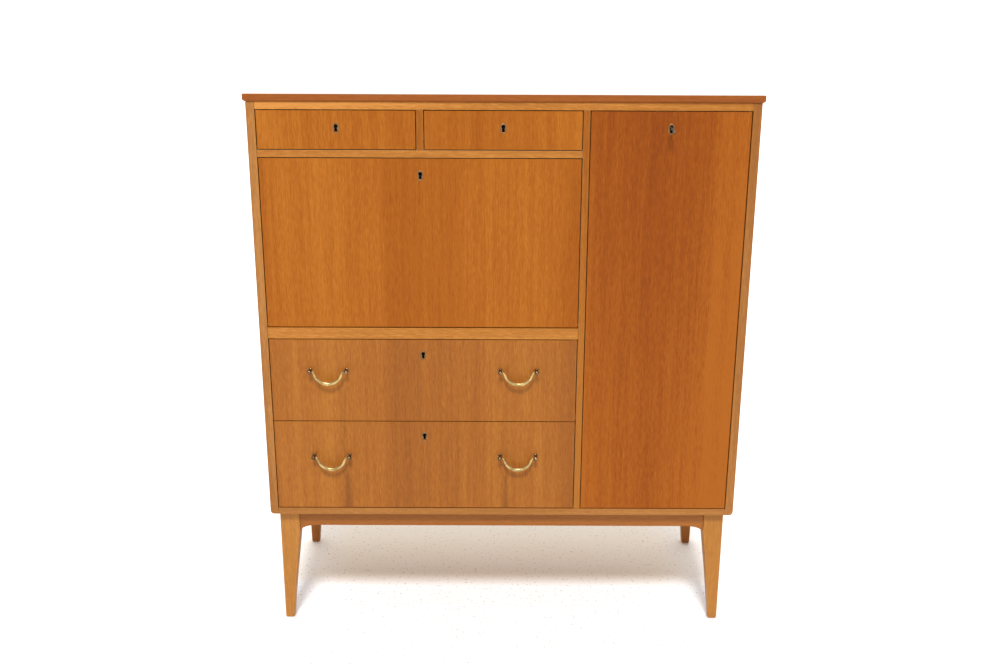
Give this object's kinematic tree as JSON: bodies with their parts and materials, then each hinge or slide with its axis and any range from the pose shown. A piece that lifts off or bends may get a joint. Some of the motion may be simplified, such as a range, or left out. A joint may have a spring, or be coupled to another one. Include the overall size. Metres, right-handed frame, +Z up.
{
  "type": "secretary desk",
  "caption": "Upright secretary desk on four tapered legs, with small drawers, a drop-front writing flap, full drawers with bail handles and a tall locking cupboard.",
  "frame": {"origin": "on the floor, under the middle of the object's bounding box", "axes": "+Z up, +Y from the front with the drawers and flap towards the back, +X to the right as seen from the front"},
  "size_m": [1.07, 0.459, 1.2233],
  "materials": {
    "front_veneer": "satin lacquered upright-grain veneer",
    "door_veneer": "satin lacquered upright-grain veneer, a little redder",
    "case_veneer": "satin lacquered veneer",
    "edge_wood": "satin lacquered golden edges",
    "leg_wood": "satin lacquered solid wood",
    "inner_wood": "plain pale inner wood",
    "aged_brass": "worn, polished where it is held",
    "lock_steel": "dull"
  },
  "bodies": {
    "carcass": {"top_panel": "case_veneer", "side_panel_left": "case_veneer", "side_panel_right": "case_veneer", "bottom_panel": "edge_wood", "partition": "edge_wood", "back_panel": "inner_wood", "top_rail": "edge_wood", "drawer_deck": "edge_wood", "drawer_divider": "edge_wood", "desk_rail": "edge_wood", "desk_floor": "case_veneer", "dust_board": "inner_wood", "cupboard_shelf_lower": "inner_wood", "cupboard_shelf_upper": "inner_wood", "pigeonhole_unit": "inner_wood", "leg_front_left": "leg_wood", "leg_front_right": "leg_wood", "leg_rear_left": "leg_wood", "leg_rear_right": "leg_wood", "apron_front": "leg_wood", "apron_rear": "leg_wood", "apron_left": "leg_wood", "apron_right": "leg_wood", "flap_pivot_left": "lock_steel", "flap_pivot_right": "lock_steel", "door_pivot_top": "lock_steel", "door_pivot_bottom": "lock_steel"},
    "small_drawer_left": {"small_drawer_left_front": "front_veneer", "small_drawer_left_tray": "inner_wood"},
    "small_drawer_left_bolt": {"small_drawer_left_bolt": "lock_steel"},
    "small_drawer_right": {"small_drawer_right_front": "front_veneer", "small_drawer_right_tray": "inner_wood"},
    "small_drawer_right_bolt": {"small_drawer_right_bolt": "lock_steel"},
    "upper_drawer": {"upper_drawer_front": "front_veneer", "upper_drawer_tray": "inner_wood", "upper_drawer_left_handle_post_1": "aged_brass", "upper_drawer_left_handle_post_2": "aged_brass", "upper_drawer_right_handle_post_1": "aged_brass", "upper_drawer_right_handle_post_2": "aged_brass"},
    "upper_drawer_left_bail": {"upper_drawer_left_bail": "aged_brass"},
    "upper_drawer_right_bail": {"upper_drawer_right_bail": "aged_brass"},
    "upper_drawer_bolt": {"upper_drawer_bolt": "lock_steel"},
    "lower_drawer": {"lower_drawer_front": "front_veneer", "lower_drawer_tray": "inner_wood", "lower_drawer_left_handle_post_1": "aged_brass", "lower_drawer_left_handle_post_2": "aged_brass", "lower_drawer_right_handle_post_1": "aged_brass", "lower_drawer_right_handle_post_2": "aged_brass"},
    "lower_drawer_left_bail": {"lower_drawer_left_bail": "aged_brass"},
    "lower_drawer_right_bail": {"lower_drawer_right_bail": "aged_brass"},
    "lower_drawer_bolt": {"lower_drawer_bolt": "lock_steel"},
    "flap": {"flap_panel": "front_veneer"},
    "flap_bolt": {"flap_bolt": "lock_steel"},
    "stay_left": {"stay_left": "aged_brass"},
    "stay_guide_left": {"stay_guide_left": "aged_brass"},
    "stay_right": {"stay_right": "aged_brass"},
    "stay_guide_right": {"stay_guide_right": "aged_brass"},
    "door": {"door_panel": "door_veneer"},
    "door_key": {"door_key": "lock_steel"},
    "door_bolt": {"door_bolt": "lock_steel"}
  },
  "joints": [
    {"name": "small_drawer_left_slide", "type": "slide", "parent": "carcass", "child": "small_drawer_left", "axis": [0, -1, 0], "range_m": [0, 0.28]},
    {"name": "small_drawer_left_bolt_slide", "type": "slide", "parent": "small_drawer_left", "child": "small_drawer_left_bolt", "axis": [0, 0, 1], "range_m": [0, 0.005]},
    {"name": "small_drawer_right_slide", "type": "slide", "parent": "carcass", "child": "small_drawer_right", "axis": [0, -1, 0], "range_m": [0, 0.28]},
    {"name": "small_drawer_right_bolt_slide", "type": "slide", "parent": "small_drawer_right", "child": "small_drawer_right_bolt", "axis": [0, 0, 1], "range_m": [0, 0.005]},
    {"name": "upper_drawer_slide", "type": "slide", "parent": "carcass", "child": "upper_drawer", "axis": [0, -1, 0], "range_m": [0, 0.3]},
    {"name": "upper_drawer_left_bail_hinge", "type": "hinge", "parent": "upper_drawer", "child": "upper_drawer_left_bail", "pos_m": [-0.383, -0.2158, 0.628], "axis": [-1, 0, 0], "range_deg": [-20, 200]},
    {"name": "upper_drawer_right_bail_hinge", "type": "hinge", "parent": "upper_drawer", "child": "upper_drawer_right_bail", "pos_m": [0.035, -0.2158, 0.628], "axis": [-1, 0, 0], "range_deg": [-20, 200]},
    {"name": "upper_drawer_bolt_slide", "type": "slide", "parent": "upper_drawer", "child": "upper_drawer_bolt", "axis": [0, 0, 1], "range_m": [0, 0.005]},
    {"name": "lower_drawer_slide", "type": "slide", "parent": "carcass", "child": "lower_drawer", "axis": [0, -1, 0], "range_m": [0, 0.3]},
    {"name": "lower_drawer_left_bail_hinge", "type": "hinge", "parent": "lower_drawer", "child": "lower_drawer_left_bail", "pos_m": [-0.383, -0.2158, 0.425], "axis": [-1, 0, 0], "range_deg": [-20, 200]},
    {"name": "lower_drawer_right_bail_hinge", "type": "hinge", "parent": "lower_drawer", "child": "lower_drawer_right_bail", "pos_m": [0.035, -0.2158, 0.425], "axis": [-1, 0, 0], "range_deg": [-20, 200]},
    {"name": "lower_drawer_bolt_slide", "type": "slide", "parent": "lower_drawer", "child": "lower_drawer_bolt", "axis": [0, 0, 1], "range_m": [0, 0.005]},
    {"name": "flap_hinge", "type": "hinge", "parent": "carcass", "child": "flap", "pos_m": [-0.174, -0.1955, 0.7323], "axis": [1, 0, 0], "range_deg": [0, 90]},
    {"name": "flap_bolt_slide", "type": "slide", "parent": "flap", "child": "flap_bolt", "axis": [0, 0, 1], "range_m": [0, 0.005]},
    {"name": "stay_left_hinge", "type": "hinge", "parent": "flap", "child": "stay_left", "pos_m": [-0.5045, -0.1745, 0.86059], "axis": [1, 0, 0], "range_deg": [-45, 0]},
    {"name": "stay_guide_left_hinge", "type": "hinge", "parent": "carcass", "child": "stay_guide_left", "pos_m": [-0.5045, -0.1305, 0.84488], "axis": [1, 0, 0], "range_deg": [0, 45]},
    {"name": "stay_right_hinge", "type": "hinge", "parent": "flap", "child": "stay_right", "pos_m": [0.1565, -0.1745, 0.86059], "axis": [1, 0, 0], "range_deg": [-45, 0]},
    {"name": "stay_guide_right_hinge", "type": "hinge", "parent": "carcass", "child": "stay_guide_right", "pos_m": [0.1565, -0.1305, 0.84488], "axis": [1, 0, 0], "range_deg": [0, 45]},
    {"name": "door_hinge", "type": "hinge", "parent": "carcass", "child": "door", "pos_m": [0.5052, -0.1955, 0.7], "axis": [0, 0, 1], "range_deg": [0, 105]},
    {"name": "door_key_turn", "type": "hinge", "parent": "door", "child": "door_key", "pos_m": [0.345, -0.2005, 1.1544], "axis": [0, 1, 0], "range_deg": [0, 180]},
    {"name": "door_bolt_slide", "type": "slide", "parent": "door", "child": "door_bolt", "axis": [0, 0, 1], "range_m": [0, 0.005]}
  ],
  "couplings": [
    {"joint": "stay_left_hinge", "follows": "flap_hinge", "ratio": -0.5},
    {"joint": "stay_guide_left_hinge", "follows": "flap_hinge", "ratio": 0.5},
    {"joint": "stay_right_hinge", "follows": "flap_hinge", "ratio": -0.5},
    {"joint": "stay_guide_right_hinge", "follows": "flap_hinge", "ratio": 0.5},
    {"joint": "door_bolt_slide", "follows": "door_key_turn", "m_per_rad": 0.0015915}
  ]
}
